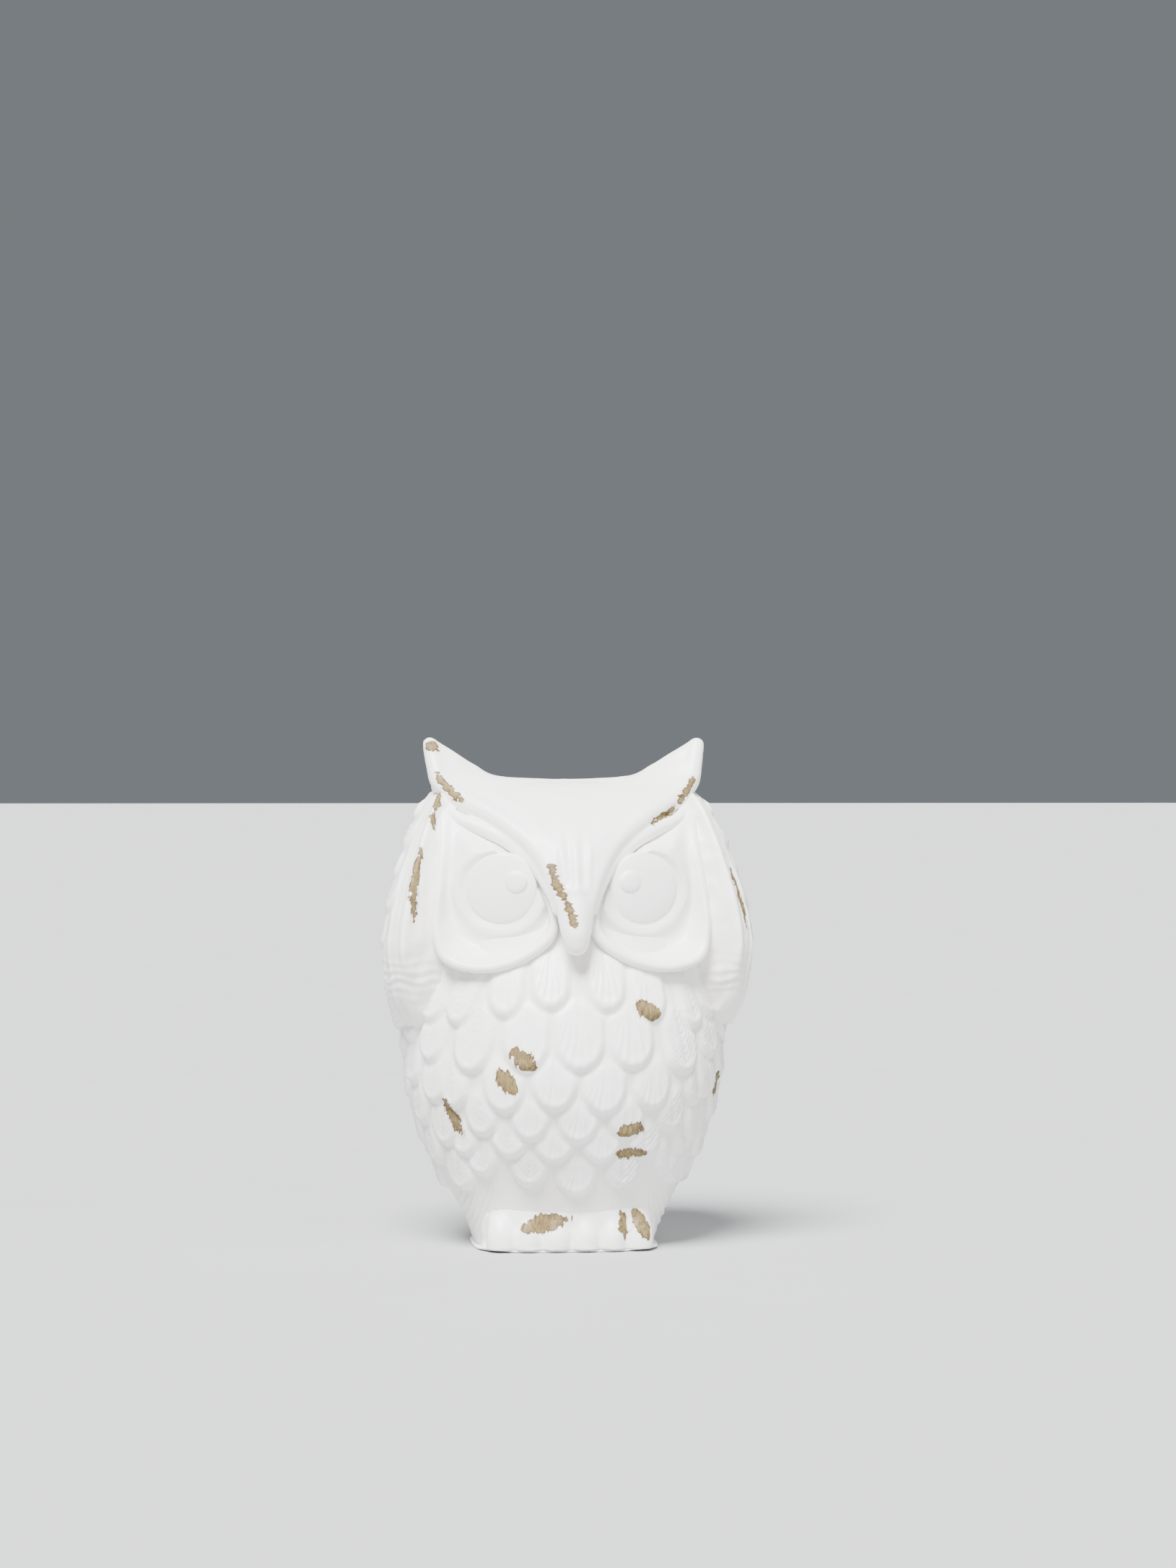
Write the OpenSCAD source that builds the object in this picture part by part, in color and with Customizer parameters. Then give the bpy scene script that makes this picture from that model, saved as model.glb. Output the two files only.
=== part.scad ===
// Owl figurine: a hollow ceramic shell with its modelled-on elements, standing on a thin pad.
// Millimetres. The owl faces -Y, +Z is up, and its own left side is +X. The origin is at the
// middle of the underside of the pad.

/* [Overall size] */
// Height from the underside of the pad to the ear tips
height = 180; // [150:1:220]
// Width across the folded wings
width = 130; // [112:1:156]
// Depth from the front of the beak to the back of the tail
depth = 108; // [94:1:128]

/* [Shell] */
// Thickness of the ceramic wall
wall = 4; // [3:0.5:6]
// Thickness of the floor that the shell stands on
floor_t = 5; // [4:0.5:8]
// Diameter of the drain hole in the floor
drain_d = 16; // [8:1:24]
// Squareness of the cross-section: 2 is an ellipse
squareness = 2.2; // [2:0.05:2.6]

/* [Face] */
// Radius of each eye dome
eye_r = 13; // [11:0.5:14]
// How far an eye dome stands out of its mask
eye_rise = 2; // [1.5:0.25:3]
// Distance from the middle of the face to the middle of an eye
eye_x = 25; // [23:0.5:27]
// Radius of each raised pupil
pupil_r = 4.2; // [3:0.1:6]
// How far the edge of each eye dome stands clear of the dish around it
dish_gap = 0.5; // [0.3:0.1:1]

/* [Base] */
// Thickness of the pad under the shell
pad_t = 0.8; // [0.5:0.1:1.5]
// How far the pad reaches past the shell
pad_lip = 1; // [0:0.25:3]
// Number of toes on each foot
toes = 3; // [2:1:4]

/* [Hidden] */

LEFT = 1;
RIGHT = -1;
GLAZE = [0.95, 0.94, 0.91];
GLAZE_WARM = [0.9, 0.87, 0.82];
GLAZE_SHADE = [0.84, 0.82, 0.78];
PAD_WHITE = [0.98, 0.98, 0.99];

// Every station below is written for an owl of this size, and scaled to the size asked for
REF = [130, 108, 180];
k = [width / REF[0], depth / REF[1], height / REF[2]];
k_min = min(k);

around = 48;          // points round the shell
rings = 36;           // rings up the shell
cavity_around = 32;
cavity_rings = 20;
rim_points = 30;      // places along the rim of a mask
facets = 14;          // facets of the balls that strands and limbs are made of
round_fn = 64;

// The shell: [height, half width, reach forwards, reach backwards, squareness]
SHELL = [
    [0.8, 32, 28, 28.5, 3], [10, 35.5, 30, 33.5, 2.8], [22, 42, 35, 40.5, 2.4],
    [40, 50, 44, 46, squareness], [58, 55, 50, 48.5, squareness],
    [76, 56.5, 50.5, 49.5, squareness], [92, 56.2, 47.5, 49, squareness],
    [108, 55, 41, 48, squareness], [124, 52.5, 35, 46, squareness],
    [138, 50, 31.5, 42, squareness], [150, 47, 28, 36, squareness],
    [158, 42, 22, 28, squareness], [162.6, 35, 14.5, 19, squareness],
    [164.6, 21, 7, 9, squareness]
];
shell_floor = SHELL[0][0];
shell_top = SHELL[len(SHELL) - 1][0];

// A brow, from the tip of its ear down to the bridge: [aside, forwards, up, radius]
BROW = [
    [47.9, 4.5, 178.1, 1.9], [46.5, 7.5, 171.5, 2.7], [44.4, 10.5, 164.5, 3.6],
    [36, 17, 157.6, 4.2], [28, 23.6, 152.9, 4.2], [20, 30, 147.4, 4],
    [13, 36.4, 141, 3.8], [7.6, 42, 132.4, 3.6], [4.2, 45.4, 123, 3.2]
];
// What the crest spans to from each of those: the top of the ear, the crown, and then the
// middle of the forehead
CROWN = [
    [47.9, 4.5, 178.1, 1.9], [41, 4, 173, 2.5], [33.5, 3, 167.8, 3], [24, 4, 162.6, 3.6],
    [15, 12, 160, 4], [8, 20.5, 156, 4], [4, 30.5, 148.5, 4], [1.5, 39, 138, 4],
    [0.5, 44.5, 125, 4]
];
// The back of an ear, down to the crown behind it
NAPE = [[47.9, 4.5, 178.1, 1.9], [44, 0.5, 170.5, 3], [41, -5, 162.5, 4.2], [32, -4, 160, 4.2]];
crown_meets = 3;      // from this station down, the crest reaches right across the head

// The beak, from the bridge to its tip
BEAK = [
    [0, 43, 127, 6.4], [0, 45.6, 120.6, 6], [0, 47.2, 115, 5.4], [0, 49, 110.8, 4.4],
    [0, 50.5, 108, 3.4]
];

// The raised rim round a mask, starting at its outer top corner and going inwards
RIM = [
    [42.5, 20, 152, 2], [32, 25.5, 148.5, 2.4], [21, 32, 142.5, 2.4], [13.4, 38, 134, 2.3],
    [9, 42, 123, 2], [9.5, 43, 112.5, 2], [19, 44, 103.8, 2.2], [32, 42, 99.8, 2.4],
    [43.6, 38.4, 102.8, 2.5], [46.8, 35.4, 112, 2.5], [46, 32, 125, 2.4], [44.4, 27, 140, 2.2]
];
mask_root = 8;        // how deep a mask's plate goes behind its rim
eye_z = 127.5;
eye_front = 38.5;       // how far forwards the top of an eye dome lies
eye_turn = 14;        // degrees that an eye faces outwards
pupil_in = 5.6;       // the pupils sit off the middle of the domes, towards the beak
pupil_up = 2;
eye_skirt = 2.6;        // depth of the edge of an eye dome, sunk in its mask
pupil_skirt = 1.5;
pupil_rise = 1.4;
pupil_set = 0.5;      // how far a pupil is sunk in its dome
dish_r = 50;          // radius of the ball that hollows a mask
// Deep enough that the whole of an eye dome stands out of the dish
dish_depth = eye_rise + dish_gap + dish_r - sqrt(dish_r * dish_r - eye_r * eye_r);
plate_edge = 1.4;     // radius of the plate's edge, inside its rim

// A folded wing, from the shoulder down to its tip: [up, reach of its front face, angle of its
// front edge, angle of its back edge, how far it stands out of the shell]. 0 degrees is straight
// aside, 90 straight back.
WING = [
    [163.2, 8, 0, 25, -2.5], [161.5, 11, -4, 30, 8.6], [157, 18, -8, 38, 7.6], [150, 23, -12, 46, 7],
    [142, 27, -14, 54, 7.8], [131, 31, -16, 64, 9.1], [120, 34, -16, 69, 10],
    [108, 35, -16, 75, 9.8],
    [97, 33.5, -14, 79, 7.9], [90, 31, -12, 81, 6.8], [84, 28, -6, 82, 5.7], [80, 25, 3, 82.5, 5.3],
    [76, 21, 14, 83, 5.2], [71, 18, 26, 83.6, 5.3], [65, 16, 37, 84, 5.7], [57, 14, 50, 84, 5.7],
    [46, 10, 65, 84, 4.7], [37, 8, 76, 83, 1.5]
];
wing_low = 72;        // below this height the side of a wing begins at its front edge
wing_face = 82;       // above this one it runs straight on from the front face
wing_drop = 8;        // how far the front face draws in, into the shell, at its lower end
wing_drop_top = 92;   // the height at which it begins to
wing_drop_end = 74;   // the height at which it is all the way in
// The front of a wing's outline: [share of the half width, how far behind the face]
WING_AHEAD = [[0.66, 4.5], [0.9, 0], [0.98, 3.5], [1, 9]];
wing_least = 6;       // least angle at which the side of a wing begins
wing_sunk = 0.2;      // how deep a free front edge lies in the shell, as a share of its standing out
wing_thin = 2.2;      // how much less the side stands out than the front face
wing_sides = 5;       // places along the side
wing_levels = 30;     // places down a wing
wing_strips = 16;     // strips across it
wing_root = 3;        // how deep its inner side lies under the shell's surface
wing_round = 4;       // how square its back edge is: 2 is an ellipse

// A toe, from the instep down to its claw: [forwards, up, and its three radii]
TOE = [[25, 16, 6, 8, 4], [28.4, 11, 6.2, 6, 6], [28.8, 5, 6.2, 6, 5], [28.6, 0, 6, 5.6, 4]];
foot_w = 30;          // how wide each foot is
toe_overlap = 1.1;    // how much the toes run into each other
toe_curl = 0.0042;    // how much the outer toes fall back, for each square millimetre aside

// The pad, under the shell and the toes, laid out as a ring of the shell is
PAD = [0, 33, 32.5, 28.5, 4];

// A tail feather, from the rump down to its tip: [back, up, half width, half thickness]
TAIL = [
    [44.6, 56.5, 9, 4], [49.2, 46, 10.5, 3.8], [50, 34, 11, 3.8], [45, 20, 10, 3.5],
    [38.5, 8.5, 6, 3]
];
tail_feathers = 3;
tail_step = 10;
tail_fall = 0.22;     // how much a side feather falls back towards the shell
tail_climb = 0.4;     // how much higher a side feather ends

// ---- Curves ----

function at(list, i) = list[max(0, min(len(list) - 1, i))];

// A Catmull-Rom curve through a list of stations
function blend4(a, b, c, d, t) =
    let (tilt = c - a, bend = 2 * a - 5 * b + 4 * c - d, twist = 3 * b - a - 3 * c + d)
    (2 * b + tilt * t + bend * t * t + twist * t * t * t) / 2;
function along(list, t) =
    let (i = min(floor(t), len(list) - 2))
    blend4(at(list, i - 1), at(list, i), at(list, i + 1), at(list, i + 2), t - i);

// The same curve where the list closes on itself
function round_trip(list, t) =
    let (n = len(list), i = floor(t))
    blend4(list[(i + n - 1) % n], list[i % n], list[(i + 1) % n], list[(i + 2) % n], t - i);

function power(v, n) = sign(v) * pow(abs(v), n);

// One ring of the shell, grown outwards by grow at height z
function ring(s, grow, count, z) = [
    for (i = [0 : count - 1])
        let (a = 360 * i / count, c = power(cos(a), 2 / s[4]), d = power(sin(a), 2 / s[4]))
        [(s[1] * k[0] + grow) * c, ((d < 0 ? s[2] : s[3]) * k[1] + grow) * d, z]
];

// The shell's surface at a height and an angle: 0 is straight aside and 90 straight back
function column(i) = [for (s = SHELL) [s[0], s[i]]];
function shell_spot(up, angle) =
    let (n = 2 / lookup(up, column(4)), c = power(cos(angle), n), d = power(sin(angle), n))
    [lookup(up, column(1)) * c, lookup(up, column(d < 0 ? 2 : 3)) * d, up];

// ---- Shapes that repeat ----

// A closed solid through a stack of rings with the same number of points
module loft(stack) {
    n = len(stack[0]);
    top = len(stack) - 1;
    points = [for (r = stack) each r];
    sides = [
        for (j = [0 : top - 1], i = [0 : n - 1])
            let (a = j * n + i, b = j * n + (i + 1) % n)
            each [[a, a + n, b + n], [a, b + n, b]]
    ];
    caps = [
        for (i = [1 : n - 2]) each [[0, i, i + 1], [top * n, top * n + i + 1, top * n + i]]
    ];
    polyhedron(points = points, faces = concat(sides, caps), convexity = 6);
}

// The shell's outer form
module shell_form() {
    loft([
        for (j = [0 : rings])
            let (s = along(SHELL, j * (len(SHELL) - 1) / rings))
            ring(s, 0, around, (s[0] - shell_floor) * k[2] + pad_t)
    ]);
}

// The hollow inside it
module cavity_form() {
    low = pad_t + floor_t;
    high = (shell_top - shell_floor) * k[2] + pad_t - wall;
    loft([
        for (j = [0 : cavity_rings])
            let (
                s = along(SHELL, j * (len(SHELL) - 1) / cavity_rings),
                up = (s[0] - shell_floor) / (shell_top - shell_floor)
            )
            ring(s, -wall, cavity_around, low + (high - low) * up)
    ]);
}

function spot(s, side) = [side * s[0] * k[0], -s[1] * k[1], s[2] * k[2]];

module ball(s, side) {
    translate(spot(s, side)) sphere(r = s[3] * k_min, $fn = facets);
}

// A rounded strand through a list of balls
module strand(list, side) {
    for (i = [0 : len(list) - 2]) {
        hull() {
            ball(list[i], side);
            ball(list[i + 1], side);
        }
    }
}

// An ellipsoid at a station: [aside, back, up, and its three radii]
module lump(s, side) {
    translate([side * s[0] * k[0], s[1] * k[1], s[2] * k[2]])
        scale([s[3] * k[0], s[4] * k[1], s[5] * k[2]]) sphere(r = 1, $fn = facets);
}

// A smooth limb through a list of such stations
module limb(list, side) {
    for (i = [0 : len(list) - 2]) {
        hull() {
            lump(list[i], side);
            lump(list[i + 1], side);
        }
    }
}

// Everything under the top of the pad, which no element reaches into
module below_pad() {
    translate([-width, -depth, -height]) cube([2 * width, 2 * depth, height + pad_t]);
}

// Everything on the far side of the middle plane
module far_side(side) {
    translate([side == LEFT ? -width : 0, -depth, -height]) cube([width, 2 * depth, 3 * height]);
}

// ---- Forms of the elements, before each is cut to its neighbours ----

module brow_form() {
    for (i = [0 : len(BROW) - 2]) {
        for (side = [LEFT, RIGHT]) {
            hull() {
                for (list = [BROW, CROWN, NAPE], j = [i, i + 1]) {
                    if (j < len(list)) ball(list[j], side);
                }
            }
        }
        if (i >= crown_meets) {
            hull() {
                for (side = [LEFT, RIGHT], j = [i, i + 1]) ball(CROWN[j], side);
            }
        }
    }
}

module beak_form() {
    strand(BEAK, LEFT);
}

// The shell's surface at an angle, grown by out
function wing_spot(up, angle, out) =
    let (p = shell_spot(up, angle), grow = 1 + out / norm([p[0], p[1]]))
    [p[0] * grow, p[1] * grow, up];
function eased(low, high, v) =
    let (t = max(0, min(1, (v - low) / (high - low)))) t * t * (3 - 2 * t);

// The outer side of a folded wing at one level, from front to back
function wing_outline(s) =
    let (
        whole = eased(wing_low, wing_face, s[0]),
        wide = lookup(s[0], column(1)) + s[4]
            - wing_drop * pow(max(0, min(1, (wing_drop_top - s[0]) / (wing_drop_top - wing_drop_end))), 2),
        start = max(s[2], wing_least)
    )
    concat(
        [for (p = WING_AHEAD) [p[0] * wide, p[1] - s[1], s[0]]],
        [
            for (j = [0 : wing_sides])
                let (
                    t = j / wing_sides,
                    edge = sqrt(1 - pow(t, wing_round)),
                    rise = j == 0 ? whole * (1 + wing_sunk) - wing_sunk : 1,
                    sunk = j == wing_sides ? 1 : 0,
                    out = (s[4] - wing_thin * whole) * edge * rise - sunk
                )
                wing_spot(s[0], start + (s[3] - start) * t, out)
        ]
    );

// One level of a folded wing: its outer side from front to back, then its inner side
function wing_ring(s) =
    let (outline = wing_outline(s), last = len(outline) - 1)
    [
        for (p = concat(
            [for (j = [0 : wing_strips]) along(outline, j * last / wing_strips)],
            [
                for (j = [wing_strips : -1 : 0])
                    wing_spot(s[0], s[2] + (s[3] - s[2]) * j / wing_strips, -wing_root)
            ]
        ))
            [p[0] * k[0], p[1] * k[1], p[2] * k[2]]
    ];

module wing_form(side) {
    scale([side, 1, 1])
        loft([
            for (i = [wing_levels : -1 : 0])
                wing_ring(along(WING, i * (len(WING) - 1) / wing_levels))
        ]);
}

// Puts its children at an eye, with +Z along the eye's line of sight
module at_eye(side) {
    translate([side * eye_x * k[0], -eye_front * k[1], eye_z * k[2]])
        rotate([90, 0, side * eye_turn]) children();
}

// A round button with a domed top at z = 0 and a straight edge below it
module dome(r, rise, skirt) {
    ball_r = (r * r + rise * rise) / (2 * rise);
    intersection() {
        translate([0, 0, -ball_r]) sphere(r = ball_r, $fn = round_fn * 2);
        translate([0, 0, -rise - skirt]) cylinder(r = r, h = rise + skirt, $fn = round_fn);
    }
}

module eye_form(side) {
    at_eye(side) dome(eye_r * k_min, eye_rise, eye_skirt);
}

module pupil_form(side) {
    at_eye(side)
        translate([-side * pupil_in, pupil_up, pupil_rise - pupil_set])
            dome(pupil_r * k_min, pupil_rise, pupil_skirt);
}

module mask_form(side) {
    strand([for (i = [0 : rim_points]) round_trip(RIM, i * len(RIM) / rim_points)], side);
    difference() {
        hull() {
            for (s = RIM, root = [0, mask_root]) ball([s[0], s[1] - root, s[2], plate_edge], side);
        }
        at_eye(side) translate([0, 0, dish_r - dish_depth]) sphere(r = dish_r, $fn = round_fn);
    }
}

module foot_form(side) {
    toe_w = foot_w / toes;
    for (t = [0 : toes - 1]) {
        aside = (t + 0.5) * toe_w;
        spread = toe_w / (2 * TOE[1][2]) * toe_overlap;
        limb([
            for (s = TOE) [aside, toe_curl * aside * aside - s[0], s[1], s[2] * spread, s[3], s[4]]
        ], side);
    }
}

module tail_form() {
    for (t = [0 : tail_feathers - 1]) {
        aside = (t - (tail_feathers - 1) / 2) * tail_step;
        off = abs(aside);
        limb([
            for (s = TAIL)
                [aside, s[0] - off * tail_fall, s[1] + off * tail_climb, s[2], s[3], s[3] * 1.5]
        ], LEFT);
    }
}

// ---- Sub-parts ----

module body_shell() {
    color(GLAZE)
        difference() {
            shell_form();
            cavity_form();
            translate([0, 0, pad_t - 1]) cylinder(d = drain_d, h = floor_t + 2, $fn = round_fn);
        }
}

module brow_crest() {
    color(GLAZE_WARM)
        difference() {
            brow_form();
            shell_form();
        }
}

module beak() {
    color(GLAZE_SHADE)
        difference() {
            beak_form();
            brow_form();
            shell_form();
        }
}

module mask(side) {
    color(GLAZE)
        difference() {
            mask_form(side);
            beak_form();
            brow_form();
            wing_form(side);
            eye_form(side);
            shell_form();
        }
}

module eye(side) {
    color(GLAZE_WARM)
        difference() {
            eye_form(side);
            pupil_form(side);
            shell_form();
        }
}

module pupil(side) {
    color(GLAZE) pupil_form(side);
}

module wing(side) {
    color(GLAZE_SHADE)
        difference() {
            wing_form(side);
            brow_form();
            shell_form();
        }
}

module foot(side) {
    color(GLAZE_WARM)
        difference() {
            foot_form(side);
            shell_form();
            below_pad();
            far_side(side);
        }
}

module tail() {
    color(GLAZE_WARM)
        difference() {
            tail_form();
            wing_form(LEFT);
            wing_form(RIGHT);
            shell_form();
            below_pad();
        }
}

module base_pad() {
    color(PAD_WHITE)
        linear_extrude(pad_t)
            polygon([for (p = ring(PAD, pad_lip, around, 0)) [p[0], p[1]]]);
}

body_shell();
brow_crest();
beak();
mask(LEFT);  // mask_left
mask(RIGHT);  // mask_right
eye(LEFT);  // eye_left
eye(RIGHT);  // eye_right
pupil(LEFT);  // pupil_left
pupil(RIGHT);  // pupil_right
wing(LEFT);  // wing_left
wing(RIGHT);  // wing_right
foot(LEFT);  // foot_left
foot(RIGHT);  // foot_right
tail();
base_pad();
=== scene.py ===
import math

import bpy
import numpy as np
import openvdb
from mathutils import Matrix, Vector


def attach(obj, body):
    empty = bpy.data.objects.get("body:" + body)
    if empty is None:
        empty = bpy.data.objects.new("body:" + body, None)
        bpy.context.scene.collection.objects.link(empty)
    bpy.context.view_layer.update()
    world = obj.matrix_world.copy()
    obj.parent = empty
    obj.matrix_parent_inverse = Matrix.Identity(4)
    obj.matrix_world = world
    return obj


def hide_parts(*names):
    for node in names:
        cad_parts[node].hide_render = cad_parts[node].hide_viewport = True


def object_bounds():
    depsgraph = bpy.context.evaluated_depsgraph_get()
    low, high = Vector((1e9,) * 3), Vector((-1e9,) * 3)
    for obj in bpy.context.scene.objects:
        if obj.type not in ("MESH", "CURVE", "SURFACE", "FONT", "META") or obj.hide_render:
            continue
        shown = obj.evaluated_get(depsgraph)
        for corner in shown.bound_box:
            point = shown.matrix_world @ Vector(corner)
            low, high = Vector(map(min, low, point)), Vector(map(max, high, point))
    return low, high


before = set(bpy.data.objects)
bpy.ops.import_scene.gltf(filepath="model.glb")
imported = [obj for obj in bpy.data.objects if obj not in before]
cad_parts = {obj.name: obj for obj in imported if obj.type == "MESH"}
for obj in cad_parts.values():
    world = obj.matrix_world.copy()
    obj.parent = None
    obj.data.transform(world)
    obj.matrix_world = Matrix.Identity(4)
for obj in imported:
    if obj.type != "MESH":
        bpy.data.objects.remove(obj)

# Shapes are written in millimetres for an owl 130 wide, 108 deep and 180 tall, and scaled to the
# box that the CAD has. x is to the owl's own left, y backwards, z up.
MM = 0.001
REF = np.array([130.0, 108.0, 180.0])
cad_box = [list(corner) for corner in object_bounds()]
low, high = np.array(cad_box[0]), np.array(cad_box[1])
SCALE = (high - low) / REF / MM
MIDDLE = np.array([(low[0] + high[0]) / 2, (low[1] + high[1]) / 2, low[2]])
LEFT, RIGHT = 1, -1
FINE = 1.0


# ---------------------------------------------------------------- curves and noise


def curve(stations, count):
    """count points on a Catmull-Rom curve through the stations."""
    s = np.asarray(stations, float)
    t = np.linspace(0, len(s) - 1, count)
    i = np.minimum(t.astype(int), len(s) - 2)
    t = (t - i)[:, None]
    a, b = s[np.maximum(i - 1, 0)], s[i]
    c, d = s[i + 1], s[np.minimum(i + 2, len(s) - 1)]
    bend = 2 * a - 5 * b + 4 * c - d
    twist = 3 * b - a - 3 * c + d
    return (2 * b + (c - a) * t + bend * t * t + twist * t**3) / 2


def net(rows, down, across):
    """A smooth surface through a net of stations."""
    first = np.stack([curve(column, down) for column in np.swapaxes(rows, 0, 1)], 1)
    return np.stack([curve(row, across) for row in first]).reshape(-1, len(rows[0][0]))


def ease(low_end, high_end, v):
    t = np.clip((v - low_end) / (high_end - low_end), 0, 1)
    return t * t * (3 - 2 * t)


def hump(v, middle, width):
    return np.exp(-(((v - middle) / width) ** 2))


def noise(points, size, seed=0):
    """Smooth value noise from -1 to 1, with lumps of about this size."""
    p = np.asarray(points) / size + seed * 17.31 + 1000
    cell = np.floor(p).astype(np.int64)
    f = p - cell
    f = f * f * (3 - 2 * f)
    total = np.zeros(len(p))
    for corner in range(8):
        step = np.array([corner & 1, corner >> 1 & 1, corner >> 2 & 1])
        n = (cell + step) @ np.array([73856093, 19349663, 83492791])
        n = (n ^ (n >> 13)) * 1274126177 & 0xFFFFFFFF
        n = (n ^ (n >> 16)) & 0xFFFF
        total += (n / 32767.5 - 1) * np.prod(np.where(step, f, 1 - f), 1)
    return total


# ---------------------------------------------------------------- meshes


def normals(points, quads):
    side = np.cross(points[quads[:, 2]] - points[quads[:, 0]], points[quads[:, 3]] - points[quads[:, 1]])
    total = np.zeros_like(points)
    for corner in range(4):
        for axis in range(3):
            total[:, axis] += np.bincount(quads[:, corner], side[:, axis], len(points))
    return total / np.maximum(np.linalg.norm(total, axis=1), 1e-9)[:, None]


def soften(points, quads, rounds, share=0.5, only=None):
    """Moves each point towards the middle of its neighbours."""
    n = len(points)
    pairs = np.concatenate([quads[:, [k, (k + 1) % 4]] for k in range(4)])
    count = np.maximum(np.bincount(pairs[:, 0], minlength=n) + np.bincount(pairs[:, 1], minlength=n), 1)
    much = share if only is None else share * only[:, None]
    for _ in range(rounds):
        total = np.zeros_like(points)
        for axis in range(3):
            total[:, axis] = np.bincount(pairs[:, 0], points[pairs[:, 1], axis], n)
            total[:, axis] += np.bincount(pairs[:, 1], points[pairs[:, 0], axis], n)
        points = points + (total / count[:, None] - points) * much
    return points


def closed_grid(grid):
    """Points and faces of rows of rings, with a point in the middle of each end."""
    rows, columns = grid.shape[:2]
    j, i = np.meshgrid(np.arange(rows - 1), np.arange(columns), indexing="ij")
    a, b = j * columns + i, j * columns + (i + 1) % columns
    quads = np.stack([a, b, b + columns, a + columns], -1).reshape(-1, 4)
    points = np.concatenate([grid.reshape(-1, 3), [grid[0].mean(0)], [grid[-1].mean(0)]])
    ring = np.arange(columns)
    nxt = (ring + 1) % columns
    last = (rows - 1) * columns
    start = np.full(columns, len(points) - 2)
    end = np.full(columns, len(points) - 1)
    caps = [
        np.stack([start, nxt, ring, start], -1),
        np.stack([end, last + ring, last + nxt, end], -1),
    ]
    return points, np.concatenate([quads, *caps])


def outwards(points, quads):
    """The faces, turned so that they face outwards."""
    a, b, c, d = (points[quads[:, k]] for k in range(4))
    volume = (np.einsum("ij,ij->i", a, np.cross(b, c)) + np.einsum("ij,ij->i", a, np.cross(c, d))).sum()
    return quads[:, ::-1] if volume < 0 else quads


def piece(name, points, quads, nodes, material, wear=None, depth=None):
    """A closed mesh piece; wear and the relief's height are kept on its points for its material, which
    paints shade where that height is low.
    """
    world = MIDDLE + points * SCALE * MM
    faces = []
    for q in quads.tolist():
        corners = [v for k, v in enumerate(q) if v != q[k - 1]]
        faces.append(corners)
    mesh = bpy.data.meshes.new(name)
    mesh.from_pydata(world.tolist(), [], faces)
    mesh.validate()
    mesh.update()
    mesh.polygons.foreach_set("use_smooth", [True] * len(mesh.polygons))
    for label, values in (("wear", wear), ("depth", depth)):
        if values is not None:
            layer = mesh.attributes.new(label, "FLOAT", "POINT")
            layer.data.foreach_set("value", np.asarray(values, np.float32))
    mesh.materials.append(material)
    ob = bpy.data.objects.new(name, mesh)
    bpy.context.scene.collection.objects.link(ob)
    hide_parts(*nodes)
    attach(ob, "root")
    return ob


# ---------------------------------------------------------------- clay built up from balls

FAR = 9.0


class Clay:
    def __init__(self, corner_low, corner_high, step):
        self.step = step * FINE
        self.low = np.array(corner_low, float)
        shape = np.ceil((np.array(corner_high) - self.low) / self.step).astype(int) + 1
        self.field = np.full(shape, FAR, np.float32)

    def balls(self, stations, reach=3.0):
        """How far each place is from the nearest of these balls, [x, y, z, radius]."""
        field = np.full(self.field.shape, FAR, np.float32)
        for x, y, z, r in stations:
            centre = np.array([x, y, z])
            first = np.maximum(np.floor((centre - r - reach - self.low) / self.step).astype(int), 0)
            last = np.minimum(
                np.ceil((centre + r + reach - self.low) / self.step).astype(int) + 1, field.shape
            )
            if (last <= first).any():
                continue
            a, b, c = (
                (self.low[k] + self.step * np.arange(first[k], last[k]) - centre[k]) ** 2 for k in range(3)
            )
            away = np.sqrt(a[:, None, None] + b[None, :, None] + c[None, None, :]) - r
            spot = tuple(slice(first[k], last[k]) for k in range(3))
            np.minimum(field[spot], away, out=field[spot])
        return field

    def add(self, stations, soft=0.0, reach=3.0):
        other = self.balls(stations, reach)
        if soft:
            share = np.clip(0.5 + 0.5 * (other - self.field) / soft, 0, 1)
            self.field = self.field * share + other * (1 - share) - soft * share * (1 - share)
        else:
            self.field = np.minimum(self.field, other)

    def above(self, height):
        z = self.low[2] + self.step * np.arange(self.field.shape[2])
        self.field = np.maximum(self.field, (height - z)[None, None, :].astype(np.float32))

    def mesh(self):
        grid = openvdb.FloatGrid(background=FAR)
        grid.copyFromArray(np.ascontiguousarray(self.field, np.float32))
        points, quads = grid.convertToQuads(isovalue=0.0)
        points = self.low + np.asarray(points, float) * self.step
        quads = np.asarray(quads, np.int64)
        return points, outwards(points, quads)


# ---------------------------------------------------------------- the shell's form

# [height, half width, reach forwards, reach backwards, squareness]
SHELL = [
    [0.8, 32, 28, 28.5, 3], [10, 35.5, 30, 33.5, 2.8], [22, 42, 35, 40.5, 2.4],
    [40, 50, 44, 46, 2.2], [58, 55, 50, 48.5, 2.2], [76, 56.5, 50.5, 49.5, 2.2],
    [92, 56.2, 47.5, 49, 2.2], [108, 55, 41, 48, 2.2], [124, 52.5, 35, 46, 2.2],
    [138, 50, 31.5, 42, 2.2], [150, 47, 28, 36, 2.2], [158, 42, 22, 28, 2.2],
    [162.6, 35, 14.5, 19, 2.2], [164.6, 21, 7, 9, 2.2],
]  # fmt: skip
PROFILE = curve(SHELL, 600)
PROFILE = PROFILE[np.argsort(PROFILE[:, 0])]


def section(z):
    return [np.interp(z, PROFILE[:, 0], PROFILE[:, k]) for k in range(1, 5)]


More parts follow.
